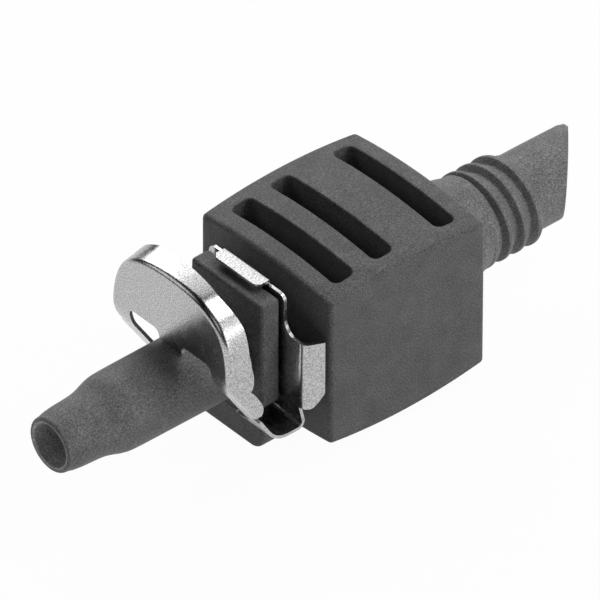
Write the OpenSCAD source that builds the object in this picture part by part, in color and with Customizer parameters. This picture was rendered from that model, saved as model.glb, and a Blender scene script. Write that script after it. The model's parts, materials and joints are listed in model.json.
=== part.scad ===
// Straight quick-release tube connector with a spring clip.
// One moulded body carries a nozzle, a flange with a foot, a cored housing and
// a screw-in tube end. One sheet-steel clip is bent round the flange.
// Units are mm. X runs along the bore towards the threaded end, Z is up,
// and X = 0 is the housing's front face on the bore axis.

/* [Housing] */
// Length of the housing along the bore
housing_length = 14.5; // [13:0.1:17]
// Width of the housing across its two flat sides
housing_width = 14; // [12:0.1:16]
// Height of the housing at its corners
corner_height = 12.45; // [11:0.05:14]
// Radius of the crowned top and bottom
crown_radius = 45; // [34:1:80]
// Rounding of the four upright edges
upright_edge = 0.35; // [0.1:0.05:1]
// Width of each of the coring slots
slot_width = 1.85; // [1:0.05:2.2]
// Length of each slot across the housing
slot_length = 11.4; // [8:0.1:11.6]
// Distance from the front face to the first slot's middle
slot_first = 2.45; // [1.8:0.05:2.8]
// Spacing of the first two slots
slot_pitch = 3.65; // [3:0.05:4]
// Distance from the rear face to the last slot's middle
slot_last = 2.55; // [1.8:0.05:3]
// Thickness of the web left between upper and lower slots
web = 1.5; // [1:0.1:3]

/* [Nozzle] */
// Distance from the housing's front face to the nozzle's tip
nozzle_length = 20.1; // [17:0.1:24]
// Outside diameter at the nozzle's tip
tip_diameter = 4.3; // [4:0.05:4.7]
// Outside diameter of the nozzle's cylindrical part
nozzle_diameter = 6; // [5.6:0.05:6.05]
// Diameter of the bore through the whole part
bore_diameter = 3.4; // [2.4:0.05:3.6]

/* [Flange and foot] */
// Distance from the housing to the flange's front face
flange_front = 3.7; // [3.4:0.05:3.8]
// Thickness of the flange along the bore
flange_thickness = 1.7; // [1.2:0.05:1.75]
// Width of the flange
flange_width = 7.7; // [6.5:0.05:8.2]
// Height of the flange's top above the bore axis
flange_top = 6.1; // [5:0.05:6.3]
// Depth of the flange's lower edge below the bore axis
flange_bottom = 3.05; // [2:0.05:3.3]
// Depth of the foot's sole below the bore axis
foot_bottom = 6.95; // [6:0.05:7.1]
// Width of the neck between the flange and the foot
neck_width = 4; // [3:0.1:4.2]

/* [Screw-in end] */
// Diameter of the collar behind the housing
collar_diameter = 7.75; // [7:0.05:9]
// Diameter over the thread's crests
thread_diameter = 7.3; // [6.8:0.05:8]
// Diameter of the tube under and beyond the thread
tube_diameter = 6.1; // [5.6:0.05:6.6]
// Pitch of the right-hand thread
thread_pitch = 1.38; // [1.2:0.01:1.6]
// Distance from the housing's rear face to the tube's long point
end_length = 16.5; // [14:0.1:20]
// Angle between the bevelled end and a square cut
bevel_angle = 41.3; // [30:0.1:45]
// Turn of the bevel's long point upwards from the level of the bore
bevel_turn = 5.8; // [0:0.1:10]

/* [Clip] */
// Thickness of the spring steel sheet
sheet = 0.25; // [0.2:0.01:0.35]
// Distance from the housing's front face to the thumb plate's front
plate_front = 8.95; // [8.6:0.05:9.4]
// Height of the thumb plate's top above the bore axis
plate_top = 9.25; // [8.5:0.05:10]
// Half the width of the thumb plate
plate_half_width = 6.4; // [6:0.05:6.8]
// Depth of the rim round the thumb plate
rim_depth = 2; // [1.2:0.1:2.6]
// Backward slope of the two limbs
limb_slope = 33; // [32:0.5:34]
// Width of the window that the nozzle passes through
window_width = 8.7; // [8.4:0.05:9]
// Width of the tooth that holds the pushed-on tube
tooth_width = 2.4; // [1.6:0.1:3.2]
// Half the width of the bend under the flange
bend_half_width = 6; // [5.4:0.05:6.2]

/* [Hidden] */
$fn = 72;
half_length = housing_length / 2;
half_width = housing_width / 2;
crown_drop = crown_radius
    - sqrt(pow(crown_radius, 2) - pow(half_length, 2) - pow(half_width, 2));
crown_top = corner_height / 2 + crown_drop;
bore_r = bore_diameter / 2;
nozzle_r = nozzle_diameter / 2;
tip_r = tip_diameter / 2;
stem_r = 3.05;
collar_r = collar_diameter / 2;
tube_r = tube_diameter / 2;
crest_r = thread_diameter / 2;
root_r = tube_r + 0.06;
thread_from = housing_length + 3.6;
thread_to = housing_length + 9.1;
slot_xs = [slot_first, slot_first + slot_pitch, housing_length - slot_last];
slot_corner = 0.55;
flange_rear = flange_front - flange_thickness;

// The clip's side view, in x and z. The limb starts under the thumb plate with
// a long bend of radius top_bend and ends where the bend under the flange begins.
top_bend = 3.5;
bend_z = 3.9;
under_bend = 2.2;
back_bend = 0.65;
under_z = -4.34;
limb_start = [-plate_front + top_bend * (1 - cos(limb_slope)), bend_z - top_bend * sin(limb_slope)];
limb_dir = [sin(limb_slope), -cos(limb_slope)];
limb_in = [cos(limb_slope), sin(limb_slope)];
// length at which the under bend's tangent point lies on the limb
limb_length = (limb_start[1] - under_z - under_bend * (1 - sin(limb_slope))) / cos(limb_slope);
limb_end = limb_start + limb_dir * limb_length;
// to a thousandth of a millimetre, so that the bend's pieces meet exactly
under_centre = [for (v = limb_end + limb_in * under_bend) round(v * 1000) / 1000];
back_front = -1.8;
back_centre = [back_front + sheet - back_bend, under_z + back_bend];
split = 3.4;
tongue_end = 3.95;
tongue_width = 1.16;
// the far limb has no tongue: there the rim ends at this height
far_rim_end = 2.0;
// the wings end just inside the housing's two flat sides
wing_half = half_width - 1.37;
window_half = window_width / 2;
slit_half = 2.3;
arch_r = 3.85;
arch_crown = 17;

module along_x(x0, x1, r0, r1) {
    translate([x0, 0, 0]) rotate([0, 90, 0])
        cylinder(h = x1 - x0, r1 = r0, r2 = r1);
}

// Lays a drawing made in x and z flat across the part, centred on y = 0.
module across_y(width) {
    rotate([90, 0, 0]) linear_extrude(height = width, center = true) children();
}

// Lays a drawing made in y and z along the bore, from x0 to x1.
module along_bore(x0, x1) {
    translate([x0, 0, 0]) rotate([90, 0, 90])
        linear_extrude(height = x1 - x0) children();
}

module rounded(x0, x1, y0, y1, r) {
    translate([x0 + r, y0]) square([x1 - x0 - 2 * r, y1 - y0]);
    translate([x0, y0 + r]) square([x1 - x0, y1 - y0 - 2 * r]);
    for (x = [x0 + r, x1 - r], y = [y0 + r, y1 - r])
        translate([x, y]) circle(r = r, $fn = 32);
}

// A bent strip: the part of a ring between two angles under 180 degrees apart.
module bent(centre, outer, from, to) {
    far = outer * 3;
    translate(centre) intersection() {
        difference() {
            circle(r = outer);
            circle(r = outer - sheet);
        }
        polygon([[0, 0], far * [cos(from), sin(from)],
            far * [cos((from + to) / 2), sin((from + to) / 2)],
            far * [cos(to), sin(to)]]);
    }
}

// The moulded body.

module housing() {
    difference() {
        intersection() {
            translate([0, 0, -crown_top - 1]) linear_extrude(height = 2 * crown_top + 2)
                rounded(0, housing_length, -half_width, half_width, upright_edge);
            translate([half_length, 0, crown_top - crown_radius]) sphere(r = crown_radius);
            translate([half_length, 0, crown_radius - crown_top]) sphere(r = crown_radius);
        }
        for (x = slot_xs, side = [0, 1]) mirror([0, 0, side])
            translate([0, 0, web / 2]) linear_extrude(height = crown_top)
                rounded(x - slot_width / 2, x + slot_width / 2,
                    -slot_length / 2, slot_length / 2, slot_corner);
    }
    along_x(0, housing_length, stem_r + 0.1, stem_r + 0.1);
}

// The flare between tip and cylinder rises smoothly over its length.
function flare(t) = (1 - cos(180 * t)) / 2;

module nozzle() {
    x_tip = -nozzle_length;
    flare_from = x_tip + 3;
    flare_to = x_tip + 6.2;
    flare_low = tip_r + 0.28;
    rotate([0, 90, 0]) rotate_extrude() polygon(concat(
        [[0, x_tip], [tip_r - 0.14, x_tip], [tip_r - 0.04, x_tip + 0.05],
            [tip_r, x_tip + 0.16], [tip_r + 0.15, x_tip + 1]],
        [for (t = [0:0.1:1]) [flare_low + (nozzle_r - flare_low) * flare(t),
            flare_from + (flare_to - flare_from) * t]],
        [[nozzle_r, -9.3], [stem_r, -5.5], [stem_r, 1], [0, 1]]));
}

module flange() {
    r = 0.3;
    translate([0, 0, -flange_bottom]) linear_extrude(height = flange_top + flange_bottom)
        rounded(-flange_front, -flange_rear, -flange_width / 2, flange_width / 2, r);
    translate([-flange_front, -neck_width / 2, -foot_bottom + 0.5])
        cube([flange_thickness, neck_width, foot_bottom]);
    // the foot hangs just below the clip's bend
    foot_top = -under_z + 0.12;
    intersection() {
        translate([0, 0, -foot_bottom]) linear_extrude(height = foot_bottom - foot_top)
            rounded(-flange_front, -flange_rear, -flange_width / 2, flange_width / 2, r);
        along_bore(-flange_front - 1, 0)
            rounded(-flange_width / 2, flange_width / 2, -foot_bottom, 0, 1.2);
    }
}

// Radius of the thread at a share of one pitch: a steep flank towards the
// housing, a narrow crest and a long slope towards the tip.
function thread_r(s) = let (u = s - floor(s))
    u < 0.20 ? root_r
    : u < 0.40 ? root_r + (crest_r - root_r) * (u - 0.20) / 0.20
    : u < 0.52 ? crest_r
    : root_r + (crest_r - root_r) * (1 - u) / 0.48;

module screw_end() {
    x0 = housing_length;
    turns = (thread_to - thread_from) / thread_pitch;
    sides = 24;
    along_x(x0 - 0.5, x0 + 2.6, collar_r, collar_r);
    along_x(x0 + 2.6, x0 + 4.3, collar_r, crest_r - 0.1);
    // a core that stays below the thread's root joins it to the plain tube
    along_x(x0 - 0.5, thread_to + 0.4, tube_r - 0.3, tube_r - 0.3);
    intersection() {
        translate([thread_from, 0, 0]) rotate([90, 0, 90])
            linear_extrude(height = thread_to - thread_from, twist = -360 * turns,
                slices = round(turns * 12), segments = sides, $fn = sides)
                polygon([for (i = [0:sides - 1])
                    thread_r(0.62 - i / sides) * [cos(360 * i / sides), sin(360 * i / sides)]]);
        along_x(thread_from, thread_to + 0.01, crest_r + 2.2, root_r - 0.02);
    }
    tube_end();
}

module tube_end() {
    x1 = housing_length + end_length;
    // the wall is a true cylinder up to the bevel, and has a little draft beyond
    round_to = max(thread_to + 0.5, x1 - 2 * tube_r * tan(bevel_angle) - 0.1);
    intersection() {
        union() {
            along_x(thread_to - 0.005, round_to, tube_r, tube_r);
            along_x(round_to, x1, tube_r, tube_r - 0.08);
        }
        // the bevel has its long point on the far side, a little above the bore
        rotate([bevel_turn, 0, 0]) translate([x1, tube_r, 0]) rotate([0, 0, -bevel_angle])
            translate([-60, -30, -10]) cube([60, 60, 20]);
        translate([x1 - 5, 0, 0]) rotate([0, 90, 0])
            union() {
                sphere(r = 4.55);
                translate([0, 0, -20]) cylinder(h = 20, r = 4.5);
            }
    }
}

module connector_body() {
    color([0.30, 0.31, 0.32]) difference() {
        union() {
            housing();
            nozzle();
            flange();
            screw_end();
        }
        along_x(-nozzle_length - 1, housing_length + end_length + 1, bore_r, bore_r);
    }
}

// The spring clip.

// Front outline of the thumb plate, drawn inwards by d for the rim's inside.
module arch(d) {
    intersection() {
        union() {
            for (s = [-1, 1]) translate([s * 2.3, plate_top - arch_r]) circle(r = arch_r - d);
            translate([-2.3, 0]) square([4.6, plate_top - d]);
            polygon([[-plate_half_width + d, -9], [plate_half_width - d, -9],
                [plate_half_width - d, bend_z + 0.6], [2.3 + arch_r - d, plate_top - arch_r],
                [-2.3 - arch_r + d, plate_top - arch_r], [-plate_half_width + d, bend_z + 0.6]]);
        }
        translate([0, plate_top - arch_crown]) circle(r = arch_crown - d, $fn = 144);
    }
}

module window() {
    tooth = tooth_width / 2;
    for (s = [0, 1]) mirror([s, 0]) rounded(tooth, window_half, 0, 3.9, 0.5);
    translate([-window_half, -3]) square([window_width, 6.05]);
    polygon([[-window_half, -2.99], [window_half, -2.99], [slit_half, -3.5], [slit_half, -9],
        [-slit_half, -9], [-slit_half, -3.5]]);
}

// Side view of the lever's sheet, from its top to the split in the bend.
module lever_side() {
    translate([-plate_front, bend_z]) square([sheet, plate_top + 1 - bend_z]);
    bent([-plate_front + top_bend, bend_z], top_bend, 180, 180 + limb_slope);
    polygon([limb_start, limb_start + limb_in * sheet, limb_end + limb_in * sheet, limb_end]);
}

// Side view of the rim and of the tongue that stiffens each limb.
module rim_side() {
    x0 = -plate_front;
    x1 = x0 + rim_depth;
    // the rim grows out of the middle of the sheet, so no faces coincide
    mid = sheet / 2;
    translate([x0 + mid, bend_z]) square([rim_depth - mid, plate_top - bend_z]);
    polygon(concat(
        [for (a = [0:limb_slope / 6:limb_slope])
            [x0 + top_bend - (top_bend - mid) * cos(a), bend_z - (top_bend - mid) * sin(a)]],
        [limb_start + limb_dir * tongue_end + limb_in * mid,
            limb_start + limb_dir * tongue_end + limb_in * 0.35,
            limb_start + limb_dir * (tongue_end - 0.12) + limb_in * 0.72,
            limb_start + limb_dir * (tongue_end - 0.4) + limb_in * 0.92,
            limb_start + limb_dir * (tongue_end - 1) + limb_in * (tongue_width - 0.04),
            limb_start + limb_dir * 1.6 + limb_in * tongue_width,
            limb_start + limb_dir + limb_in * (tongue_width - 0.08),
            [x1 + 0.16, 1.95], [x1 + 0.3, 2.35], [x1 + 0.3, 2.8], [x1, bend_z]]));
}

module clip_lever() {
    color([0.80, 0.81, 0.82]) {
        intersection() {
            across_y(30) lever_side();
            along_bore(-12, 0) difference() {
                intersection() {
                    arch(0);
                    polygon([[-8, 12], [8, 12], [8, 0], [plate_half_width, 0],
                        [bend_half_width, -3], [bend_half_width, -5], [-bend_half_width, -5],
                        [-bend_half_width, -3], [-plate_half_width, 0], [-8, 0]]);
                }
                window();
            }
        }
        intersection() {
            across_y(30) rim_side();
            along_bore(-12, 0) difference() {
                arch(0);
                arch(sheet);
                translate([0, far_rim_end - 20]) square([20, 20]);
            }
        }
    }
}

// Side view of the fixed part of the clip, from the split round to the tab.
module anchor_side() {
    bent(under_centre, under_bend, 180 + limb_slope + split, 270);
    translate([under_centre[0], under_z]) square([back_centre[0] - under_centre[0], sheet]);
    bent(back_centre, back_bend, 270, 360);
    translate([back_front, back_centre[1]]) square([sheet, flange_top + 0.2 - back_centre[1]]);
}

module back_outline() {
    wing_top = 3.05;
    fillet = 1.2;
    rounded(-4.05, 4.05, 0, flange_top + 0.2, 0.6);
    translate([-wing_half - 0.05, -2.7]) square([2 * wing_half + 0.1, wing_top + 2.7]);
    translate([-bend_half_width, -9]) square([2 * bend_half_width, 6.3]);
    for (s = [0, 1]) mirror([s, 0]) difference() {
        translate([4, wing_top - 0.05]) square([fillet + 0.05, fillet + 0.05]);
        translate([4.05 + fillet, wing_top + fillet]) circle(r = fillet);
    }
}

// One wing of the rear plate, bent back and flared out beside the housing.
module wing() {
    flare_out = 22;
    inner = 0.5;
    turn = [back_front + sheet + inner, -wing_half];
    along = [cos(flare_out), -sin(flare_out)];
    out = [-sin(flare_out), -cos(flare_out)];
    start = turn + out * inner - along * 0.04;
    intersection() {
        translate([0, 0, -2.7]) linear_extrude(height = 5.75) {
            bent(turn, inner + sheet, 180, 270 - flare_out);
            polygon([start, start + out * sheet, start + out * sheet + along * 1.15,
                start + along * 1.15]);
        }
        across_y(30) polygon([[-3, 4], [1, 4], [-0.3, 3.0], [-0.3, -1.7], [-0.75, -2.15],
            [-1.7, -2.75], [-3, -2.75]]);
    }
}

module clip_anchor() {
    color([0.74, 0.75, 0.77]) {
        intersection() {
            across_y(2 * bend_half_width) anchor_side();
            along_bore(-6, 0) difference() {
                back_outline();
                circle(r = stem_r + 0.15);
                translate([-slit_half, -9]) square([2 * slit_half, 9]);
            }
        }
        // the tab folds forward over the flange
        across_y(4.8) {
            translate([back_front, flange_top]) square([sheet, 0.4]);
            bent([back_front - 0.05, flange_top + 0.4], sheet + 0.05, 0, 90);
            translate([back_front - 1.1, flange_top + 0.45]) square([1.05, sheet]);
        }
        wing();
        mirror([0, 1, 0]) wing();
    }
}

connector_body();
clip_lever();
clip_anchor();
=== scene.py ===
# %% [markdown]
# # A quick-release tube connector with a spring clip
#
# This lesson dresses a small moulded connector. Its CAD model is already
# packed, and its sizes and places are followed. Here the moulding and the steel
# clip are made again as finer meshes with soft edges, and both get materials
# that hold up close to. All lengths are worked out in millimetres, because that
# is how such a part is drawn, and each mesh is scaled to metres as its last step.

import json
import math

import bmesh
import bpy
from mathutils import Matrix, Vector

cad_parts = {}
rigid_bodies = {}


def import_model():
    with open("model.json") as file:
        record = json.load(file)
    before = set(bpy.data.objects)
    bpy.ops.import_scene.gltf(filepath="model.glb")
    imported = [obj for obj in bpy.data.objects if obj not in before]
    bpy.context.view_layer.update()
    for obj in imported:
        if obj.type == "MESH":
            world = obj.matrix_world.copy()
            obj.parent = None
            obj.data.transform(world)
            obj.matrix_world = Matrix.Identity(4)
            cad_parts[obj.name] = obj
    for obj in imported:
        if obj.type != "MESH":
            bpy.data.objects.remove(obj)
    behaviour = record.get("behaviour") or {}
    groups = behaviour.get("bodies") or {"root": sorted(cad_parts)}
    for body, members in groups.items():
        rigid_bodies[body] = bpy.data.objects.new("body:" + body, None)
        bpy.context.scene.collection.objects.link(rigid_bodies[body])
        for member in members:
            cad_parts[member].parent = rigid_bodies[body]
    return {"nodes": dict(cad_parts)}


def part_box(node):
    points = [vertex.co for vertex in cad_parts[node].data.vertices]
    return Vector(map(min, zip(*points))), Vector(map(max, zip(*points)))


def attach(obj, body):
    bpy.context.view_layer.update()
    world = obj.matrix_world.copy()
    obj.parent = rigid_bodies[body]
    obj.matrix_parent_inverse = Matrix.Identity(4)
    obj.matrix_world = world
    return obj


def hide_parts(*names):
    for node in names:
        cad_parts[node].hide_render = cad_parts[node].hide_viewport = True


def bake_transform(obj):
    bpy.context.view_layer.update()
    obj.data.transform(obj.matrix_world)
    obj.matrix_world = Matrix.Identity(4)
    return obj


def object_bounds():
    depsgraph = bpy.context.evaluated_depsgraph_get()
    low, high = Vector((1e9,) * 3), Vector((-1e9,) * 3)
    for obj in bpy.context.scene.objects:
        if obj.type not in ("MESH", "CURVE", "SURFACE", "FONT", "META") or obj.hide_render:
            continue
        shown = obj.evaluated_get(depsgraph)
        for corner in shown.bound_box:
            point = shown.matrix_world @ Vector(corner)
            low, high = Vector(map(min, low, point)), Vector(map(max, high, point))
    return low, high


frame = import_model()
cad_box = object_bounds()
MM = 0.001
for name in frame["nodes"]:
    low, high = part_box(name)
    print(name, "from", [round(v / MM, 2) for v in low], "to", [round(v / MM, 2) for v in high])

# %% [markdown]
# ## The camera
#
# A catalogue picture of a small part is taken from far off with a long lens, so
# that parallel edges stay parallel. A camera 1.5 m away with a lens of about
# 1270 mm does the same. It could also be an orthographic camera, but the long
# lens keeps the slight convergence that a real picture has. The camera's axes
# are built from its two angles and a very small roll.

# %% Camera
azimuth, elevation, roll = math.radians(-41.193), math.radians(38.288), math.radians(0.202)
distance = 1.5
looks_at = Vector((3.593, 0.435, 0.545)) * MM
sensor = 36.0
picture_width, focal_pixels = 600, 21212
focal = focal_pixels / picture_width * sensor

back = Vector((math.sin(azimuth) * math.cos(elevation),
               -math.cos(azimuth) * math.cos(elevation), math.sin(elevation)))
right = Vector((math.cos(azimuth), math.sin(azimuth), 0))
up = back.cross(right)
right, up = (right * math.cos(roll) + up * math.sin(roll),
             up * math.cos(roll) - right * math.sin(roll))

camera_data = bpy.data.cameras.new("camera")
camera_data.sensor_width = sensor
camera_data.lens = focal
camera_data.clip_start, camera_data.clip_end = 0.1, 10
camera = bpy.data.objects.new("camera", camera_data)
bpy.context.scene.collection.objects.link(camera)
camera.matrix_world = Matrix((
    (right.x, up.x, back.x, looks_at.x + back.x * distance),
    (right.y, up.y, back.y, looks_at.y + back.y * distance),
    (right.z, up.z, back.z, looks_at.z + back.z * distance),
    (0, 0, 0, 1)))
bpy.context.scene.camera = camera
bpy.context.scene.view_settings.view_transform = "Standard"
print("lens", round(focal, 1), "mm from", distance, "m")

# %% [markdown]
# ## Turning outlines into meshes
#
# Four small helpers do the work that every piece needs. The first makes an
# object from a bmesh, the second turns an object's modifiers into its mesh, the
# third adds or cuts one closed solid with another, and the fourth finishes a
# mesh: it smooths the shading across gentle angles, lets the large faces rule
# the normals, and scales it to metres. Boolean work is done in millimetres,
# where the numbers are of a comfortable size.

# %% Helpers for solids
def solid_from(bm, name):
    """A closed bmesh in millimetres becomes an object, with its faces turned outwards."""
    bmesh.ops.recalc_face_normals(bm, faces=bm.faces[:])
    mesh = bpy.data.meshes.new(name)
    bm.to_mesh(mesh)
    bm.free()
    thing = bpy.data.objects.new(name, mesh)
    bpy.context.scene.collection.objects.link(thing)
    return thing


def bake_modifiers(thing):
    """Replaces the object's mesh by what its modifiers make of it."""
    graph = bpy.context.evaluated_depsgraph_get()
    made = bpy.data.meshes.new_from_object(thing.evaluated_get(graph))
    thing.modifiers.clear()
    thing.data = made
    return thing


def combine(base, tool, how):
    """Adds (UNION) or cuts away (DIFFERENCE) a closed solid, which is used up."""
    step = base.modifiers.new("combine", "BOOLEAN")
    step.operation, step.solver, step.object = how, "MANIFOLD", tool
    bpy.context.view_layer.update()
    bake_modifiers(base)
    bpy.data.objects.remove(tool)
    return base


def finish_mesh(thing, material, smooth_below=34):
    """Smooth shading with crisp edges, one material, and the scale in metres."""
    mesh = thing.data
    for face in mesh.polygons:
        face.use_smooth = True
    mesh.set_sharp_from_angle(angle=math.radians(smooth_below))
    weigh = thing.modifiers.new("weigh", "WEIGHTED_NORMAL")
    weigh.keep_sharp, weigh.weight = True, 50
    bake_modifiers(thing)
    thing.data.transform(Matrix.Scale(MM, 4))
    thing.data.materials.clear()
    thing.data.materials.append(material)
    print(thing.name, len(thing.data.polygons), "faces")
    return thing


# %% [markdown]
# ## Walls from rings
#
# Most of the moulding is made of rings of points joined to each other: a
# turned nozzle, a screw thread, the cutter for a slot. One function skins any
# stack of rings and closes both ends, so each piece only has to say where its
# points lie.

# %% Skinning a stack of rings
def skin(rings):
    """Joins rings of equally many points, one after another, and caps both ends."""
    bm = bmesh.new()
    rows = [[bm.verts.new(point) for point in ring] for ring in rings]
    count = len(rows[0])
    for lower, upper in zip(rows, rows[1:]):
        for i in range(count):
            j = (i + 1) % count
            bm.faces.new((lower[i], lower[j], upper[j], upper[i]))
    bm.faces.new(rows[0][::-1])
    bm.faces.new(rows[-1])
    return bm


def turned(name, profile, sides=112):
    """A solid of revolution round the bore from (x, radius) pairs."""
    angles = [2 * math.pi * i / sides for i in range(sides)]
    return solid_from(skin([[(x, r * math.cos(a), r * math.sin(a)) for a in angles]
                            for x, r in profile]), name)


def soft_block(name, low, high, edge, rounds=4, low_corners=0):
    """A block with all its edges rounded, and the two lower ones along X more so."""
    bm = bmesh.new()
    bmesh.ops.create_cube(bm, size=1)
    size = [h - l for l, h in zip(low, high)]
    middle = [(h + l) / 2 for l, h in zip(low, high)]
    bmesh.ops.transform(bm, matrix=Matrix.Translation(middle) @ Matrix.Diagonal((*size, 1)),
                        verts=bm.verts[:])
    if low_corners:
        lower = [e for e in bm.edges
                 if all(v.co.z < low[2] + 0.01 for v in e.verts)
                 and abs(e.verts[0].co.x - e.verts[1].co.x) > 0.5]
        bmesh.ops.bevel(bm, geom=lower, offset=low_corners, segments=8, profile=0.5,
                        affect="EDGES", clamp_overlap=True)
    sharp = [e for e in bm.edges if e.calc_face_angle(0) > 0.6]
    bmesh.ops.bevel(bm, geom=sharp, offset=edge, segments=rounds, profile=0.5,
                    affect="EDGES", clamp_overlap=True)
    return solid_from(bm, name)


# %% [markdown]
# ## The housing block
#
# The housing is a block with flat sides and a top and bottom that are crowned
# in both directions, like a piece of a large ball. A grid of points lifted on
# to that ball gives the crown exactly. A bevel on the edges gives the small
# radius that a mould leaves, and that radius is what catches the light.

# %% Housing block
length, half_width = 14.5, 7.0
corner_z, crown_r = 6.22, 45.0
half_length = length / 2
crown_top = corner_z + crown_r - math.sqrt(crown_r**2 - half_length**2 - half_width**2)


def crown(x, y):
    """Height of the crowned top above the bore."""
    return crown_top - crown_r + math.sqrt(crown_r**2 - (x - half_length)**2 - y**2)


def housing_block(steps=18, edge=0.34):
    """Crowned top and bottom and flat sides from one grid, with bevelled edges."""
    bm = bmesh.new()
    xs = [length * i / steps for i in range(steps + 1)]
    ys = [-half_width + 2 * half_width * i / steps for i in range(steps + 1)]
    top = [[bm.verts.new((x, y, crown(x, y))) for y in ys] for x in xs]
    low = [[bm.verts.new((x, y, -crown(x, y))) for y in ys] for x in xs]
    for i in range(steps):
        for j in range(steps):
            bm.faces.new((top[i][j], top[i + 1][j], top[i + 1][j + 1], top[i][j + 1]))
            bm.faces.new((low[i][j], low[i][j + 1], low[i + 1][j + 1], low[i + 1][j]))
        for j in (0, steps):
            bm.faces.new((top[i][j], top[i + 1][j], low[i + 1][j], low[i][j]))
            bm.faces.new((top[j][i], top[j][i + 1], low[j][i + 1], low[j][i]))
    bmesh.ops.recalc_face_normals(bm, faces=bm.faces[:])
    sharp = [e for e in bm.edges if e.calc_face_angle(0) > 0.6]
    bmesh.ops.bevel(bm, geom=sharp, offset=edge, segments=5, profile=0.5,
                    affect="EDGES", clamp_overlap=True)
    return solid_from(bm, "moulded_body")


body = housing_block()
print("crown rises to", round(crown_top, 2), "mm above the bore")

# %% [markdown]
# ## The slots
#
# Thick plastic shrinks as it cools, so a moulder cores it out. Here three long
# slots with rounded ends are sunk into the top and three into the bottom. Each
# is cut with a solid whose upper end opens out in a small curve that follows
# the crown, so the rim of every slot gets its soft edge in the same cut.

# %% Slots
slots_x = (2.45, 6.10, 11.95)
slot_half = (0.925, 5.7)
slot_corner, corner_parts, web = 0.55, 8, 1.5
rim, rim_grow = 0.13, 0.1235


def slot_outline(grow):
    """Points round a slot with rounded corners, grown outwards by grow."""
    a, b = slot_half
    points = []
    for sx, sy, start in ((1, 1, 0), (-1, 1, 90), (-1, -1, 180), (1, -1, 270)):
        centre = (sx * (a - slot_corner), sy * (b - slot_corner))
        for i in range(corner_parts + 1):
            t = math.radians(start + 90 * i / corner_parts)
            points.append((centre[0] + (slot_corner + grow) * math.cos(t),
                           centre[1] + (slot_corner + grow) * math.sin(t)))
    # more points along the two long sides let the rim follow the crown
    dense = []
    for (x0, y0), (x1, y1) in zip(points, points[1:] + points[:1]):
        parts = 14 if abs(y1 - y0) > 3 else 1
        dense += [(x0 + (x1 - x0) * k / parts, y0 + (y1 - y0) * k / parts) for k in range(parts)]
    return dense


def slot_cutter(x_middle, side):
    """From the web up to the crown, where the cutter opens out round the rim's curve."""
    curve = [math.radians(d) for d in (0, 25, 50, 72)]
    stages = [(None, 0.0)]
    stages += [(-rim * (1 - math.sin(t)), rim * (1 - math.cos(t))) for t in curve]
    stages += [(0.04, rim_grow), (1.5, rim_grow)]
    rings = []
    for drop, grow in stages:
        ring = []
        for x, y in slot_outline(grow):
            x += x_middle
            # the first ring has no drop: it is the floor of the slot, on the web
            z = web / 2 if drop is None else crown(x, y) + drop
            ring.append((x, y, side * z))
        rings.append(ring)
    return solid_from(skin(rings), "cutter")


for x_middle in slots_x:
    for side in (1, -1):
        combine(body, slot_cutter(x_middle, side), "DIFFERENCE")
print("body with slots:", len(body.data.polygons), "faces")

# %% [markdown]
# ## The nozzle
#
# The nozzle is turned: a thin rounded lip, a tip that hardly tapers, a smooth
# flare, and a long cylinder that the tube slides on to. A short list of radii
# along the axis describes it, and a smooth curve through them avoids the rings
# that straight pieces would show in the highlights.

# %% Nozzle
nozzle_marks = [(-19.85, 2.17), (-19.05, 2.31), (-18.15, 2.39), (-17.45, 2.42), (-16.85, 2.455),
                (-16.25, 2.535), (-15.65, 2.68), (-15.05, 2.86), (-14.35, 2.985),
                (-13.35, 3.02), (-11.85, 3.03), (-5.5, 3.05), (1.0, 3.05)]


def smooth_through(marks, x):
    """A curve through the marks with no sudden change of slope."""
    def slope(i):
        if i in (0, len(marks) - 1):
            return 0.0
        (x0, y0), (x1, y1), (x2, y2) = marks[i - 1:i + 2]
        left, right_ = (y1 - y0) / (x1 - x0), (y2 - y1) / (x2 - x1)
        return 0.0 if left * right_ <= 0 else 2 * left * right_ / (left + right_)
    for i in range(len(marks) - 1):
        (x0, y0), (x1, y1) = marks[i], marks[i + 1]
        if x <= x1:
            t, w = (x - x0) / (x1 - x0), x1 - x0
            return (y0 * (2 * t**3 - 3 * t**2 + 1) + y1 * (3 * t**2 - 2 * t**3)
                    + w * (slope(i) * (t**3 - 2 * t**2 + t) + slope(i + 1) * (t**3 - t**2)))
    return marks[-1][1]


tip_x, lip_round, lip_outer = -20.1, 0.2, 2.16
flare_end, flare_step = -12.9, 0.22


def nozzle_profile():
    """The rounded lip, close points over the tip and flare, and wide ones beyond."""
    turns = [math.radians(d) for d in (0, 20, 40, 60, 78)]
    profile = [(tip_x + lip_round * (1 - math.cos(t)), lip_outer - lip_round * (1 - math.sin(t)))
               for t in turns]
    xs, x = [], nozzle_marks[0][0]
    while x < flare_end:
        xs.append(x)
        x += flare_step
    xs += [-12.8, -11, -9.3, -8, -6.7, -5.5, 1.0]
    return profile + [(x, smooth_through(nozzle_marks, x)) for x in xs]


combine(body, turned("nozzle", nozzle_profile()), "UNION")
# the bore's own tube runs on inside the housing, below the slots
inner_r, inner_inset = 3.15, 0.5
inner_tube = turned("inner_tube", [(inner_inset, inner_r), (length - inner_inset, inner_r)])
combine(body, inner_tube, "UNION")
print("body with nozzle:", len(body.data.polygons), "faces, from", tip_x, "mm")

# %% [markdown]
# ## The flange and its foot
#
# An upright plate crosses the bore, with a narrow neck below it and a wider
# foot. The clip is bent round it and cannot come off. All three are blocks
# with generously rounded edges.

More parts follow.
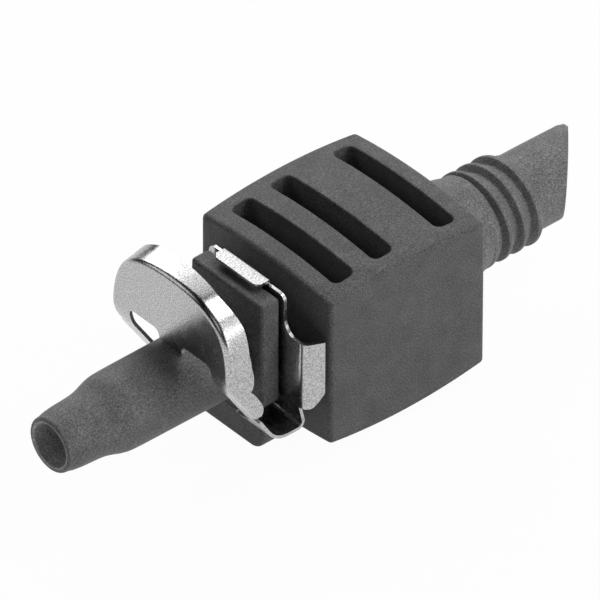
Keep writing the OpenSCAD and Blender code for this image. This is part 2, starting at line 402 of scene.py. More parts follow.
# %% Flange, neck and foot
front_x, rear_x = -3.7, -2.0
blocks = (("flange", 0.0, 3.85, (-3.05, 6.1), 0.30, 0.0),
          ("neck", 0.08, 2.0, (-5.5, -2.0), 0.12, 0.0),
          ("foot", 0.0, 3.85, (-6.95, -4.46), 0.28, 1.2))
for name, inset, half, (low_z, high_z), edge, low_corners in blocks:
    block = soft_block(name, (front_x + inset, -half, low_z), (rear_x - inset, half, high_z),
                       edge, low_corners=low_corners)
    combine(body, block, "UNION")
    print(name, "from", low_z, "to", high_z, "mm")

# %% [markdown]
# ## The screw-in end
#
# Behind the housing come a collar, a thread and a plain tube. Every one of them
# can be read as a radius that depends on how far along the bore and how far
# round it a point lies. The thread's own radius climbs steeply on the side of
# the housing, has a narrow crest, and falls slowly towards the tip. The outside
# of the whole end is then the largest of the three radii at each point.
#
# The slanting end could be cut off with a block. Here each line of the wall
# simply stops where it meets the slanting plane, and turns over its edge in a
# small curve, so that the edge is soft all the way round.

# %% Radius of the screw-in end
thread_from, pitch, thread_phase = 18.1, 1.38, 0.62
ridge_foot, climb, crest_end, fall = 0.16, 0.22, 0.50, 0.66
thread_turns, turn_fade, root_to, root_fade = 3.85, 0.35, 23.4, 0.5
crest_r, root_r, tube_r = 3.65, 3.11, 3.05
collar_r, collar_low, collar_flat, collar_end = 3.875, 3.52, 17.0, 19.1
collar_slope = collar_end - collar_flat
plain_from, draft_from, draft = 24.3, 25.5, 0.014
ball_x, ball_r = 26.0, 4.55
bevel_middle, bevel_across, bevel_up = 28.322, 0.874, 0.089


def ease(t):
    """A smooth step that climbs from 0 to 1 while t goes from 0 to 1."""
    t = min(1.0, max(0.0, t))
    return t * t * (3 - 2 * t)


def thread_share(s):
    """Height of the thread, from 0 to 1, after s turns: a climb, a crest and a slow fall."""
    u = s - math.floor(s)
    return ease((u - ridge_foot) / climb) if u < crest_end else 1 - ease((u - crest_end) / fall)


def collar(x):
    """Radius of the collar, which slopes down under the thread's first turn."""
    return collar_r + (collar_low - collar_r) * ease((x - collar_flat) / collar_slope)


def end_radius(x, angle):
    """Radius of the collar and the thread; the thread fades out in its fourth turn."""
    s = thread_phase - angle / 360 + (x - thread_from) / pitch
    turns = math.floor(s - ridge_foot) + angle / 360
    grown = 1 - ease((turns - thread_turns) / turn_fade)
    thread = root_r + (crest_r - root_r) * thread_share(s) * grown
    if x < thread_from:
        thread = tube_r
    thread += (tube_r - thread) * ease((x - root_to) / root_fade)
    r = max(thread, tube_r)
    return max(r, collar(x)) if x < collar_end else r


def tube_radius(x):
    """Radius of the plain tube: a little draft, and a ball that rounds the long point."""
    return min(tube_r - draft * max(0.0, x - draft_from),
               math.sqrt(max(0.0, ball_r**2 - (x - ball_x)**2)))


def on_bevel(radius, angle):
    """How far along the bore the slanting end face lies."""
    return bevel_middle + radius * (bevel_across * math.cos(angle) + bevel_up * math.sin(angle))


# %% Screw-in end
def wall_to_bevel(angle, wall_parts=16, soft=0.26, soft_parts=5):
    """(x, radius) pairs along one line of the tube's wall and over its rounded edge."""
    # stepping half the way to the plane again and again finds where the wall meets it
    edge_x = bevel_middle
    for _ in range(40):
        edge_x += 0.5 * (on_bevel(tube_radius(edge_x), angle) - edge_x)
    edge_r = tube_radius(edge_x)
    wall_length, face_r = edge_x - soft - plain_from, edge_r - soft
    xs = [plain_from + wall_length * k / wall_parts for k in range(wall_parts + 1)]
    pairs = [(x, tube_radius(x)) for x in xs]
    start, stop = pairs[-1], (on_bevel(face_r, angle), face_r)
    for k in range(1, soft_parts + 1):
        t = k / soft_parts
        pairs.append(tuple(a * (1 - t)**2 + 2 * b * t * (1 - t) + c * t * t
                           for a, b, c in zip(start, (edge_x, edge_r), stop)))
    return pairs


def screw_end(sides=120):
    """Collar, thread and tube in one skin, built from lines along the wall."""
    xs = [14.0, length, 15.5, 16.5]
    xs += [collar_flat + 0.1 * i for i in range(11)]
    xs += [thread_from + 0.055 * i for i in range(1, 107)]
    angles = [2 * math.pi * i / sides for i in range(sides)]
    lines = []
    for a in angles:
        line = [(x, end_radius(x, math.degrees(a))) for x in xs] + wall_to_bevel(a)
        lines.append([(x, r * math.cos(a), r * math.sin(a)) for x, r in line])
    return solid_from(skin(list(zip(*lines))), "screw_end")


combine(body, screw_end(), "UNION")
print("body with screw-in end:", len(body.data.polygons), "faces")

# %% [markdown]
# ## The bore
#
# One bore runs through everything. Its cutter opens slightly at the nozzle's
# tip, which rounds the inner side of the lip.

# %% Bore
bore_r, mouth_r, mouth_round = 1.7, 1.95, 0.16
bore = [(tip_x - 0.9, mouth_r), (tip_x, mouth_r)]
bore += [(tip_x + mouth_round * (1 - math.cos(t)), bore_r + mouth_round * (1 - math.sin(t)))
         for t in (math.radians(d) for d in (8, 30, 55, 90))]
bore += [(x, bore_r) for x in (-10, 5, 20, 40)]
combine(body, turned("bore", bore, sides=72), "DIFFERENCE")
print("moulded body:", len(body.data.polygons), "faces")

# %% [markdown]
# ## Grey glass-filled plastic
#
# The moulding is dark grey with a fine eroded grain from the mould. Close up it
# shows three things at once: a soft mottling a millimetre or two across, light
# specks of grain, and a fine bump that breaks up the shine. Two noise textures
# in object space give these with no unwrapping: a coarse one for the mottling,
# and a fine one for the specks, the bump and the shine. The nozzle's mottling is
# the same material, it only shows more on a round part.
#
# The turned parts at both ends and the bore's wall are painted paler than the
# block. This is painted light: it stands in for light that the lamps leave out
# there. The part is one shot of plastic, so one material reads the place along
# the bore and the distance from it, and multiplies its colour by a painted
# light factor for each.

# %% Plastic
def node_maker(owner):
    """A short way to add and link nodes of a material or a world.

    make(type, {input: value or socket}, name=value) gives the new node.
    """
    tree = owner.node_tree
    tree.nodes.clear()

    def make(kind, inputs=(), **values):
        node = tree.nodes.new(kind)
        for key, value in values.items():
            setattr(node, key, value)
        for key, value in dict(inputs).items():
            if isinstance(value, bpy.types.NodeSocket):
                tree.links.new(value, node.inputs[key])
            else:
                node.inputs[key].default_value = value
        return node
    return make


def ramp(make, factor, stops):
    """A colour ramp from stops of a place and a grey level or a colour."""
    node = make("ShaderNodeValToRGB", {"Fac": factor})
    band = node.color_ramp
    for place, _ in stops[2:]:
        band.elements.new(place)
    for element, (place, grey) in zip(band.elements, sorted(stops)):
        element.position = place
        element.color = (*grey, 1) if isinstance(grey, tuple) else (grey, grey, grey, 1)
    return node.outputs["Color"]


def noise(make, where, scale, detail, roughness):
    """Cloudy values from 0 to 1 at a place; the scale is in cycles per metre."""
    node = make("ShaderNodeTexNoise", {"Vector": where, "Scale": scale, "Detail": detail,
                                       "Roughness": roughness})
    return node.outputs["Fac"]


def times(make, first, second):
    """The product of two colours."""
    node = make("ShaderNodeVectorMath", {0: first, 1: second}, operation="MULTIPLY")
    return node.outputs["Vector"]


def plastic(name="grey_plastic"):
    """Dark grey moulded plastic: mottling, pale grain, and painted light on the turned parts and
    in the bore.
    """
    material = bpy.data.materials.new(name)
    material.use_nodes = True
    make = node_maker(material)
    where = make("ShaderNodeTexCoord").outputs["Object"]
    mottle = noise(make, where, 620, 3, 0.6)
    grain = noise(make, where, 8000, 2, 0.75)
    base = ramp(make, mottle,
                [(0.3, (0.240, 0.241, 0.246)), (0.7, (0.324, 0.325, 0.331))])
    specks_and_painted_light = ramp(make, grain, [(0.36, 0.36), (0.5, 0.64), (0.64, 1.06)])
    # painted light: from the nozzle's tip to the tube's end, paler, block, paler
    along_bore = make("ShaderNodeSeparateXYZ", {"Vector": where}).outputs["X"]
    share = make("ShaderNodeMapRange", {"Value": along_bore, "From Min": -0.020,
                                        "From Max": 0.031}).outputs["Result"]
    ends = ramp(make, share, [(0.0, 0.90), (0.08, 0.88), (0.16, 0.76), (0.28, 0.71),
                              (0.31, 0.60), (0.67, 0.62), (0.68, 0.99), (1.0, 1.0)])
    specks_and_painted_light = times(make, specks_and_painted_light, ends)
    # painted light in the bore; the distance from the bore's axis is the length of (0, y, z), in
    # metres
    cross = make("ShaderNodeVectorMath", {0: where, 1: (0, 1, 1)},
                 operation="MULTIPLY").outputs["Vector"]
    radius = make("ShaderNodeVectorMath", {0: cross}, operation="LENGTH").outputs["Value"]
    wall = make("ShaderNodeMapRange", {"Value": radius, "From Min": 0.00180, "From Max": 0.00192,
                                       "To Min": 2.6, "To Max": 1.0}).outputs["Result"]
    # the grain, times the painted light at the turned parts and in the bore
    specks_and_painted_light = times(make, specks_and_painted_light, wall)
    result = times(make, base, specks_and_painted_light)
    shine = ramp(make, grain, [(0.3, 0.48), (0.7, 0.66)])
    bump = make("ShaderNodeBump", {"Height": grain, "Strength": 0.7,
                                   "Distance": 0.00004})
    shader = make("ShaderNodeBsdfPrincipled", {
        "Base Color": result, "Roughness": shine, "Normal": bump.outputs["Normal"],
        "IOR": 1.5, "Specular IOR Level": 0.26})
    make("ShaderNodeOutputMaterial", {"Surface": shader.outputs["BSDF"]})
    return material


finish_mesh(body, plastic())
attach(body, "connector")
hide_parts("connector_body")

# %% [markdown]
# ## The clip, as one bent sheet
#
# The clip is stamped from spring steel 0.25 mm thick and folded. It is made the
# same way here: its outer face is laid out as strips and flat panels, each
# point with the direction that its sheet faces. The inner face is the same
# layout moved back by the thickness, and the two are joined along every cut
# edge. A solidify modifier could do this too, but a known facing direction
# keeps the tight folds clean.
#
# Seen from the side, the sheet is a path: down the thumb plate, round a bend
# into the two limbs, under the flange, and up behind it.

# %% The sheet's path from the side
sheet = 0.25
plate_x, plate_top, bend_z, bend_r = -8.95, 9.25, 3.9, 3.5
slope_deg = 33
slope = math.radians(slope_deg)
limb_dir = (math.sin(slope), -math.cos(slope))
limb_in = (math.cos(slope), math.sin(slope))
limb_start = (plate_x + bend_r * (1 - math.cos(slope)), bend_z - bend_r * math.sin(slope))
under_z, under_r, back_r, back_x = -4.34, 2.2, 0.65, -1.55
limb_length = (limb_start[1] - under_z - under_r * (1 - math.sin(slope))) / math.cos(slope)
limb_end = tuple(s + d * limb_length for s, d in zip(limb_start, limb_dir))
under_c = (limb_end[0] + limb_in[0] * under_r, limb_end[1] + limb_in[1] * under_r)
back_c = (back_x - back_r, under_z + back_r)


def arc(centre, radius, start, stop, parts):
    """Stations along a bend: place, and the outward direction of the sheet."""
    found = []
    for i in range(parts + 1):
        a = math.radians(start + (stop - start) * i / parts)
        found.append(((centre[0] + radius * math.cos(a), centre[1] + radius * math.sin(a)),
                      (math.cos(a), math.sin(a))))
    return found


def along(start, stop, outward, parts):
    """Stations along a straight stretch, after its first point."""
    return [(tuple(a + (b - a) * i / parts for a, b in zip(start, stop)), outward)
            for i in range(1, parts + 1)]


path = arc((plate_x + bend_r, bend_z), bend_r, 180, 180 + slope_deg, 14)
bend_stations = len(path)
path += along(limb_start, limb_end, (-limb_in[0], -limb_in[1]), 36)
limb_stations = len(path)
path += arc(under_c, under_r, 180 + slope_deg, 270, 10)[1:]
path += along((under_c[0], under_z), (back_c[0], under_z), (0, -1), 2)
path += arc(back_c, back_r, 270, 360, 12)[1:]
print("the sheet's path has", len(path), "stations below the plate")

# %% [markdown]
# ## The thumb plate's outline and its turned-back rim
#
# The plate is an arch. Its edge is folded back through a right angle, with a
# small bend between plate and rim, and on the near side the same fold runs on
# down the limb as a short tongue. The arch is given by a few points of one
# half, smoothed by a curve and mirrored. A curve object could do it as well,
# but points in a list can be shared with the rim and the plate's face.

# %% Arch outline
arch_marks = [(0.0, plate_top), (1.1, 9.215), (2.15, 9.10), (3.2, 8.86), (4.1, 8.45), (4.85, 7.93),
              (5.4, 7.33), (5.8, 6.62), (6.08, 5.85), (6.27, 4.95), (6.385, 3.9)]


def catmull(points, parts):
    """A smooth curve through the points, level at its start and upright at its end."""
    before = (-points[1][0], points[1][1])
    after = (points[-1][0], points[-1][1] - 0.9)
    padded = [before] + list(points) + [after]
    curve = []
    for i in range(1, len(padded) - 2):
        p0, p1, p2, p3 = padded[i - 1:i + 3]
        for k in range(parts):
            t = k / parts
            curve.append(tuple(0.5 * (2 * b + (c - a) * t + (2 * a - 5 * b + 4 * c - d) * t * t
                                      + (3 * b - a - 3 * c + d) * t**3)
                               for a, b, c, d in zip(p0, p1, p2, p3)))
    curve.append(points[-1])
    return curve


half_arch = catmull(arch_marks, 4)
fold_r = 0.46
fold_parts = 6
print("half the arch has", len(half_arch), "points")

# %% [markdown]
# ## Laying out the sheet
#
# A small class holds the layout: `point` adds one point of the outer face with
# the way it faces, `patch` makes a face and `strip` a row of faces. When the
# layout is complete, `thicken` makes the inner face, joins the cut edges and
# rounds them a little.
# A sheared edge is never quite sharp, and here it is the bright line round the
# clip in every view.

# %% A sheet with two faces
class Sheet:
    """The outer face of a bent sheet, laid out point by point."""

    def __init__(self):
        self.bm = bmesh.new()
        self.facing = []

    def point(self, place, facing):
        """One point of the outer face, with the way that the sheet faces there."""
        vertex = self.bm.verts.new(place)
        self.facing.append((vertex, Vector(facing).normalized()))
        return vertex

    def patch(self, *vertices):
        """One face, unless it is there already; a point given twice counts once."""
        distinct = list(dict.fromkeys(vertices))
        if len(distinct) > 2 and self.bm.faces.get(distinct) is None:
            self.bm.faces.new(distinct)

    def strip(self, row_a, row_b):
        """The faces between two rows of equally many points."""
        for a, b, c, d in zip(row_a, row_a[1:], row_b[1:], row_b):
            self.patch(a, b, c, d)

    def thicken(self, thickness, edge):
        """Adds the inner face and the cut edges, which are rounded a little."""
        bm = self.bm
        faces = bm.faces[:]
        open_edges = [e for e in bm.edges if len(e.link_faces) == 1]
        inner = {v: bm.verts.new(v.co - facing * thickness) for v, facing in self.facing}
        for face in faces:
            bm.faces.new([inner[v] for v in reversed(face.verts)])
        for e in open_edges:
            a, b = e.verts
            bm.faces.new((a, b, inner[b], inner[a]))
        loose = [v for v in bm.verts if not v.link_faces]
        bmesh.ops.delete(bm, geom=loose, context="VERTS")
        bmesh.ops.recalc_face_normals(bm, faces=bm.faces[:])
        open_set = {frozenset(e.verts) for e in open_edges}
        open_set |= {frozenset(inner[v] for v in pair) for pair in set(open_set)}
        rims = [e for e in bm.edges if frozenset(e.verts) in open_set]
        bmesh.ops.bevel(bm, geom=rims, offset=edge, segments=2, profile=0.5,
                        affect="EDGES", clamp_overlap=True)
        return bm


# %% [markdown]
# ## Cross-sections of rim and limb
#
# Each station of the clip's edge has a cross-section: from the flat sheet,
# round the fold, and back along the rim. On the arch the rim runs straight
# back, and leans out a little on the far side. Below it the rim lies in the
# plane of the clip's side, so its free edge is read from a short list of
# points: it ends in a tongue on the near limb, and soon runs out on the far one.

# %% Free edge of rim and tongue
def from_limb(t, inwards):
    """A point seen from the side: t along the limb from its start, and inwards from it."""
    return tuple(s + d * t + n * inwards for s, d, n in zip(limb_start, limb_dir, limb_in))


rim_marks = {
    -1: [(0.0, 1.95), (1.1, 1.86), (2.28, 1.75), (3.42, 1.64), (4.44, 1.76), (5.28, 1.94),
         (5.68, 2.04), (6.08, 2.02), (6.24, 2.0), (6.385, 2.1)],
    1: [(0.0, 1.95), (2.0, 1.99), (3.6, 2.0), (5.0, 2.0), (6.08, 2.02), (6.385, 2.1)]}


def rim_depth(y, side):
    """How far back the rim reaches on the arch."""
    return smooth_through(rim_marks[side], abs(y))


lean_most, lean_full, lean_to = 0.3, 2.4, 4.6


def rim_flare(y, side):
    """How far the rim's free edge leans outwards: only on the far side."""
    if side < 0:
        return 0.0
    # none in the middle of the arch, and little again towards the limb
    return lean_most * ease(abs(y) / lean_full) * (1 - 0.8 * ease((abs(y) - lean_to) / 1.8))


side_y = 6.4
tongue_edge = [(plate_x + rim_depth(side_y, -1), bend_z), (plate_x + 2.26, 3.3),
               (plate_x + 2.30, 2.8), (plate_x + 2.30, 2.35), (plate_x + 2.16, 1.95),
               from_limb(1.0, 1.08),
               from_limb(1.25, 1.13), from_limb(1.6, 1.17), from_limb(2.2, 1.15),
               from_limb(2.85, 1.11), from_limb(3.3, 1.03), from_limb(3.59, 0.89),
               from_limb(3.8, 0.74), from_limb(3.9, 0.6), from_limb(3.97, 0.46)]
far_edge = [(plate_x + rim_depth(side_y, 1), bend_z), (plate_x + 2.2, 3.3), (plate_x + 2.2, 2.8),
            (plate_x + 2.0, 2.35), (plate_x + 1.5, 2.0), (plate_x + 1.0, 1.85)]
free_edges = {-1: tongue_edge, 1: far_edge}
tongue_last = {-1: 3.97, 1: 0.45}


def read_edge(points, share):
    """The point at a share of the way along a list of points."""
    steps = [math.dist(a, b) for a, b in zip(points, points[1:])]
    want = share * sum(steps)
    for (a, b), step in zip(zip(points, points[1:]), steps):
        if want <= step:
            return tuple(p + (q - p) * want / step for p, q in zip(a, b))
        want -= step
    return points[-1]


top_inset, low_inset = 0.015, 0.4
inset_from, low_from = 3.1, 3.0


def half_width_at(z):
    """Half the width of the sheet at a height: it meets the arch, and narrows below the bore."""
    if z >= 0:
        return side_y - top_inset * max(0.0, (z - inset_from) / (bend_z - inset_from))
    return side_y - low_inset * min(1.0, -z / low_from)


lobe_out, lobe_r = 4.35, 0.45
lobe_low = bend_z - lobe_r
slit, slit_from, slit_run = 2.3, -2.75, 0.8


def inner_edge_at(z):
    """Half the width of the window in the limbs, and of the slit in the bend."""
    if z > lobe_low:
        return lobe_out - lobe_r + math.sqrt(max(0.0, lobe_r**2 - (z - lobe_low)**2))
    return lobe_out - (lobe_out - slit) * ease((slit_from - z) / slit_run)


# %% Strips of the clip
clip = Sheet()
rim_columns = 4
plate_facing = (-1, 0, 0)


def fold_row(inner_point, outward, sideways, far_point, first=None):
    """One cross-section: round the fold and back to the rim's free edge.

    inner_point is where the fold starts on the flat sheet and far_point is the
    free edge; first is the point there, if the flat sheet already has it.
    """
    row = [first or clip.point(inner_point, outward)]
    centre = Vector(inner_point) - Vector(outward) * fold_r
    for k in range(1, fold_parts + 1):
        t = math.pi / 2 * k / fold_parts
        facing = Vector(outward) * math.cos(t) + Vector(sideways) * math.sin(t)
        row.append(clip.point(centre + facing * fold_r, facing))
    start = centre + Vector(sideways) * fold_r
    for k in range(1, rim_columns + 1):
        row.append(clip.point(start.lerp(Vector(far_point), k / rim_columns), sideways))
    return row


def arch_row(i, side):
    """The cross-section at one point of the arch, on one side of the middle."""
    y, z = half_arch[i]
    if i == 0:
        sideways = Vector((0, 0, 1))
    elif i == len(half_arch) - 1:
        sideways = Vector((0, side, 0))
    else:
        (y0, z0), (y1, z1) = half_arch[i - 1], half_arch[i + 1]
        sideways = Vector((0, side * (z0 - z1), y1 - y0)).normalized()
    outer = Vector((plate_x, side * y, z))
    inner = outer - sideways * fold_r
    lean = rim_flare(y, side)
    far = (plate_x + rim_depth(y, side), side * y + sideways.y * lean,
           min(z + sideways.z * lean, plate_top - 0.01))
    return fold_row(inner, Vector(plate_facing), sideways, far)


arch_rows = {side: [arch_row(i, side) for i in range(1, len(half_arch))] for side in (1, -1)}
top_row = arch_row(0, 1)
for side in (1, -1):
    rows = [top_row] + arch_rows[side]
    for row_a, row_b in zip(rows, rows[1:]):
        clip.strip(row_a, row_b)

# %% Limbs, tongues and the bend under the flange
strip_columns = 5
flat_first, flat_last = {}, {}
for side in (1, -1):
    previous_flat = previous_fold = None
    reach = tongue_last[side] + 0.01
    last_fold = max(i for i, (place, _) in enumerate(path[:limb_stations])
                    if i < bend_stations or math.dist(place, limb_start) <= reach)
    for i, ((x, z), (ox, oz)) in enumerate(path):
        outward = Vector((ox, 0, oz))
        # past the fold's end the flat sheet widens to the full width in three stations
        fold_share = 1.0 if i <= last_fold else max(0.0, 1 - (i - last_fold) / 3)
        y_flat = side * (half_width_at(z) - fold_r * fold_share)
        y_in = side * inner_edge_at(z)
        if i == 0:
            fold = arch_rows[side][-1]
            first = fold[0]
        else:
            first = clip.point((x, y_flat, z), outward)
            fold = None
            if i <= last_fold:
                fx, fz = read_edge(free_edges[side], i / last_fold)
                fold = fold_row((x, y_flat, z), outward, Vector((0, side, 0)),
                                (fx, side * half_width_at(z), fz), first)
        flat = [first] + [clip.point((x, y_flat + (y_in - y_flat) * k / strip_columns, z), outward)
                          for k in range(1, strip_columns + 1)]
        if i == 0:
            flat_first[side] = flat
        else:
            clip.strip(previous_flat, flat)
            if fold is not None and previous_fold is not None:
                clip.strip(previous_fold, fold)
        previous_flat, previous_fold = flat, fold
    flat_last[side] = previous_flat
    print("limb", side, "has its fold down to station", last_fold, "of", limb_stations)

# %% [markdown]
# ## The plate's face, with its window and tooth
#
# Between the two folds the plate is flat. One many-sided face fills it, from
# the arch down to the window that the nozzle passes through. The short tooth in
# the middle of the window's top edge rests on the nozzle: it is what bites into
# a tube that is pushed on.

# %% Plate face
def corner_arc(centre, radius, start, stop, parts=5):
    """Points round a corner, from one angle to another in degrees."""
    angles = [math.radians(start + (stop - start) * k / parts) for k in range(parts + 1)]
    return [(centre[0] + radius * math.cos(a), centre[1] + radius * math.sin(a)) for a in angles]


def sheet_x(z):
    """Where the sheet's front lies at a height, with the long bend below the plate."""
    down = max(0.0, bend_z - z)
    return plate_x + bend_r - math.sqrt(bend_r**2 - down**2)


tooth = corner_arc((1.7, 3.4), 0.5, 90, 180) + [(1.2, 3.06), (0.6, 2.99)]
tooth_near = [clip.point((sheet_x(z), -y, z), plate_facing) for y, z in tooth]
tooth_far = [clip.point((sheet_x(z), y, z), plate_facing) for y, z in tooth]
arch_far, arch_near = ([row[0] for row in arch_rows[side]] for side in (1, -1))
plate_loop = arch_far[::-1] + [top_row[0]] + arch_near
plate_loop += flat_first[-1][1:] + tooth_near + tooth_far[::-1] + flat_first[1][1:][::-1]
clip.patch(*plate_loop)
print("the plate's face has", len(plate_loop), "corners")

# %% [markdown]
# ## The plate behind the flange
#
# Behind the flange the sheet stands upright again. It has a round hole for the
# bore's stem, open below into the slit, a tab folded forward over the flange,
# and two wings flared out beside the housing. The hidden side follows from how
# such a clip has to be cut.

# %% Rear plate's hole
stem_hole, hole_parts = 3.2, 48
rear_facing = (1, 0, 0)
hole_from = -math.degrees(math.acos(slit / stem_hole))
hole = [(stem_hole * math.cos(math.radians(a)), stem_hole * math.sin(math.radians(a)))
        for a in [hole_from + (180 - 2 * hole_from) * k / hole_parts
                  for k in range(hole_parts + 1)]]


def rear(y, z):
    """A point of the upright plate behind the flange."""
    return clip.point((back_x, y, z), rear_facing)


# %% Wings
wing_low, wing_high, wing_y = -2.7, 3.05, 5.63
wing_r, wing_run, wing_rows = 0.5, 1.11, 12
wing_cut, cut_from, wing_fall = 1.15, 0.32, 0.05
flare = math.radians(22)
wing_turn = math.pi / 2 - flare

# the wing turns back round its bend and then runs out straight
sections = [(wing_r * math.sin(t), wing_r * (1 - math.cos(t)), t)
            for t in (wing_turn * k / 6 for k in range(1, 7))]
bend_out, bend_back, _ = sections[-1]
for k in range(1, 6):
    run = wing_run * k / 5
    sections.append((bend_out + run * math.sin(flare), bend_back + run * math.cos(flare),
                     wing_turn))


def between(low, high, parts):
    """Evenly spaced values from low to high."""
    return [low + (high - low) * k / parts for k in range(parts + 1)]


outlines = {}
shoulder_r, neck_r = 1.2, 0.6
for side in (1, -1):
    base = [rear(side * wing_y, z) for z in between(wing_low, wing_high, wing_rows)]
    column = base
    for out, rearwards, t in sections:
        # the lower corner is cut off at a slant, and the top falls very slightly
        share = rearwards / sections[-1][1]
        low = wing_low + wing_cut * max(0.0, (share - cut_from) / (1 - cut_from))**1.3
        high = wing_high - wing_fall * share
        facing = (math.cos(t), -side * math.sin(t), 0)
        new = [clip.point((back_x + rearwards, side * (wing_y + out), z), facing)
               for z in between(low, high, wing_rows)]
        clip.strip(column, new)
        column = new
    shoulder = [(wing_y - 0.25, wing_high)]
    shoulder += corner_arc((4.05 + shoulder_r, wing_high + shoulder_r), shoulder_r, 270, 180, 8)
    neck_top = corner_arc((3.45, 5.7), neck_r, 0, 90, 5)
    outlines[side] = base + [rear(side * y, z) for y, z in shoulder + neck_top]
print("each wing stands out", round(sections[-1][0], 2), "mm")

# %% Tab over the flange
tab_half, tab_parts, tab_reach, tab_r = 2.4, 12, 1.05, 0.3
tab_axis = (back_x - tab_r, 6.5)
tab_ys = [-y for y in between(-tab_half, tab_half, tab_parts)]
tab_base = [rear(y, 6.3) for y in tab_ys]
column = tab_base
for k in range(1, 10):
    # six rows go round the bend, and three more run forward
    t = math.pi / 2 * min(k, 6) / 6
    forward = tab_reach * max(0, k - 6) / 3
    facing = (math.cos(t), 0, math.sin(t))
    new = []
    for y in tab_ys:
        # the tab's two front corners are rounded
        inset = max(0.0, abs(y) - (tab_half - 0.45))
        reach = forward * (1 - (1 - math.sqrt(max(0.0, 1 - (inset / 0.5)**2))) * 0.55)
        new.append(clip.point((tab_axis[0] + tab_r * math.cos(t) - reach, y,
                               tab_axis[1] + tab_r * math.sin(t)), facing))
    clip.strip(column, new)
    column = new
print("the tab is", 2 * tab_half, "mm wide and reaches", round(tab_r + tab_reach, 2), "mm forward")

# %% Face of the rear plate
ring = [rear(y, z) for y, z in hole]
far_side, near_side = ([flat_last[side][0]] + outlines[side] for side in (1, -1))
loop = far_side + tab_base + near_side[::-1]
loop += flat_last[-1][1:] + ring[::-1] + flat_last[1][1:][::-1]
clip.patch(*loop)
print("the rear plate's face has", len(loop), "corners")

clip_object = solid_from(clip.thicken(sheet, 0.032), "spring_clip")

# %% [markdown]
# ## Bright spring steel
#
# Rolled sheet is not a mirror: fine rolling grain blurs what it reflects, and
# handling leaves faint cloudy patches. Two noises on a metallic shader give
# both: a fine one in its colour and bump, and a coarse one in its roughness. The
# colour is a mid grey, since a sheet that faces the white floor would otherwise
# vanish into it.

# %% Steel
def steel(name="spring_steel"):
    """Bright rolled sheet with a fine grain and faint cloudy patches."""
    material = bpy.data.materials.new(name)
    material.use_nodes = True
    make = node_maker(material)
    where = make("ShaderNodeTexCoord").outputs["Object"]
    cloud = noise(make, where, 900, 3, 0.55)
    grain = noise(make, where, 8500, 2, 0.7)
    colour = ramp(make, grain, [(0.34, (0.28, 0.28, 0.285)), (0.66, (0.62, 0.62, 0.625))])
    rough = ramp(make, cloud, [(0.3, 0.17), (0.7, 0.30)])
    bump = make("ShaderNodeBump", {"Height": grain, "Strength": 0.22,
                                   "Distance": 0.00003})
    shader = make("ShaderNodeBsdfPrincipled", {
        "Base Color": colour, "Metallic": 1.0, "Roughness": rough,
        "Normal": bump.outputs["Normal"]})
    make("ShaderNodeOutputMaterial", {"Surface": shader.outputs["BSDF"]})
    return material


finish_mesh(clip_object, steel(), smooth_below=40)
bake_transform(clip_object)
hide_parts("clip_lever", "clip_anchor")

# %% [markdown]
# ## Floor, light and background
#
# The part lies on a white floor that runs out of the picture, so floor and
# background are one. The floor shines by itself only for the camera and for
# reflections, which keeps it white without lighting the part from below, and a
# small share of it stays an ordinary surface, which takes a soft shadow.
#
# The world could light the part evenly, but then the slots would not be dark.
# So it gives no light, and seven discs do it all. Five stand on the side of the
# threaded end, so that the faces towards the nozzle stay dark. The disc over the
# nozzle draws the bright line along the fold of the plate, and a weak one beside
# the camera fills the flange and the bore.

# %% Floor and world
def white_for_camera(make, surface, strength, share):
    """Mixes a surface with a white glow that only the camera and reflections see."""
    light_path = make("ShaderNodeLightPath")
    seen = make("ShaderNodeMath", {0: light_path.outputs["Is Camera Ray"],
                                   1: light_path.outputs["Is Glossy Ray"]}, operation="MAXIMUM")
    amount = make("ShaderNodeMath", {0: seen.outputs[0], 1: share}, operation="MULTIPLY")
    glow = make("ShaderNodeEmission", {"Color": (1, 1, 1, 1), "Strength": strength})
    return make("ShaderNodeMixShader", {0: amount.outputs[0], 1: surface, 2: glow.outputs[0]})


floor_material = bpy.data.materials.new("white_floor")
floor_material.use_nodes = True
make = node_maker(floor_material)
plain = make("ShaderNodeBsdfDiffuse", {"Color": (0.9, 0.9, 0.9, 1)})
mixed = white_for_camera(make, plain.outputs[0], 1.0, 0.965)
make("ShaderNodeOutputMaterial", {"Surface": mixed.outputs[0]})

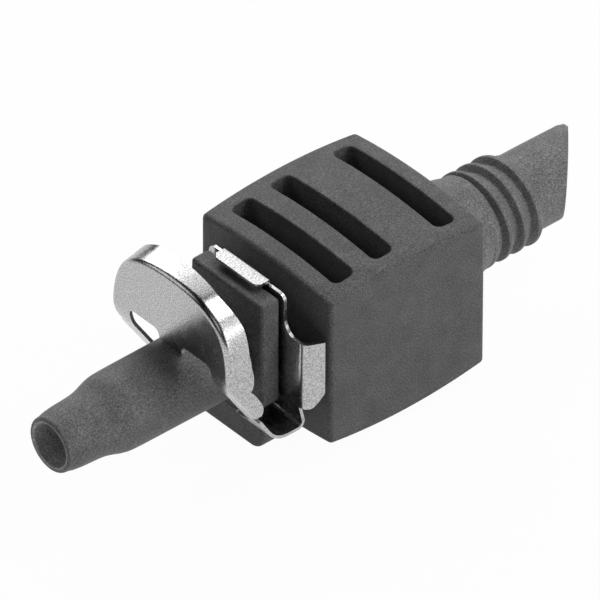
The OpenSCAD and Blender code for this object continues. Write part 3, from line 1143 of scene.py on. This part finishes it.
bm = bmesh.new()
bmesh.ops.create_grid(bm, x_segments=1, y_segments=1, size=3000)
floor = solid_from(bm, "floor")
floor.data.transform(Matrix.Scale(MM, 4))
floor.location.z = cad_box[0].z - 0.0002
floor.data.materials.append(floor_material)

world = bpy.data.worlds.new("studio")
bpy.context.scene.world = world
world.use_nodes = True
make = node_maker(world)
# only the camera sees the world, and nothing is lit by it
seen = make("ShaderNodeLightPath").outputs["Is Camera Ray"]
dark = make("ShaderNodeBackground", {"Strength": 0.0})
pale = make("ShaderNodeBackground", {"Strength": 1.0})
sky = make("ShaderNodeMixShader", {0: seen, 1: dark.outputs[0], 2: pale.outputs[0]})
make("ShaderNodeOutputWorld", {0: sky.outputs[0]})
print("floor", round(floor.location.z / MM, 2), "mm from the bore's axis")

# %% Lamps
def lamp(name, place, size, power, target=(4, 0, 0)):
    """A round lamp aimed at the part: place and size in millimetres, power in watts."""
    data = bpy.data.lights.new(name, "AREA")
    data.shape, data.size, data.energy = "DISK", size * MM, power
    thing = bpy.data.objects.new(name, data)
    bpy.context.scene.collection.objects.link(thing)
    thing.location = Vector(place) * MM
    aim = Vector(target) * MM - thing.location
    thing.rotation_mode = "QUATERNION"
    thing.rotation_quaternion = aim.to_track_quat("-Z", "Y")
    return thing


# name, direction from the part, size and power
lamps = (("above", (0.42, -0.25, 0.88), 150, 0.255),
         ("front", (0.5, -0.75, 0.45), 150, 0.09),
         ("far_side", (0.52, 0.59, 0.62), 230, 0.160),
         ("rear", (0.25, 0.78, 0.59), 150, 0.195),
         ("low_side", (0.25, -0.93, 0.25), 150, 0.115),
         ("over_nozzle", (-0.62, 0.59, 0.52), 150, 0.062),
         ("fill", (-0.62, -0.50, 0.60), 120, 0.030))
lamp_distance = 250
for name, direction, size, power in lamps:
    lamp(name, [lamp_distance * part for part in direction], size, power)
print(len(lamps), "lamps", lamp_distance, "mm away")

# %% [markdown]
# ## The CAD model's size
#
# The finer meshes are meant to stay inside the CAD model's box, which is
# printed here.

# %% Size and finish
print("CAD box", [[round(c / MM, 2) for c in v] for v in cad_box])
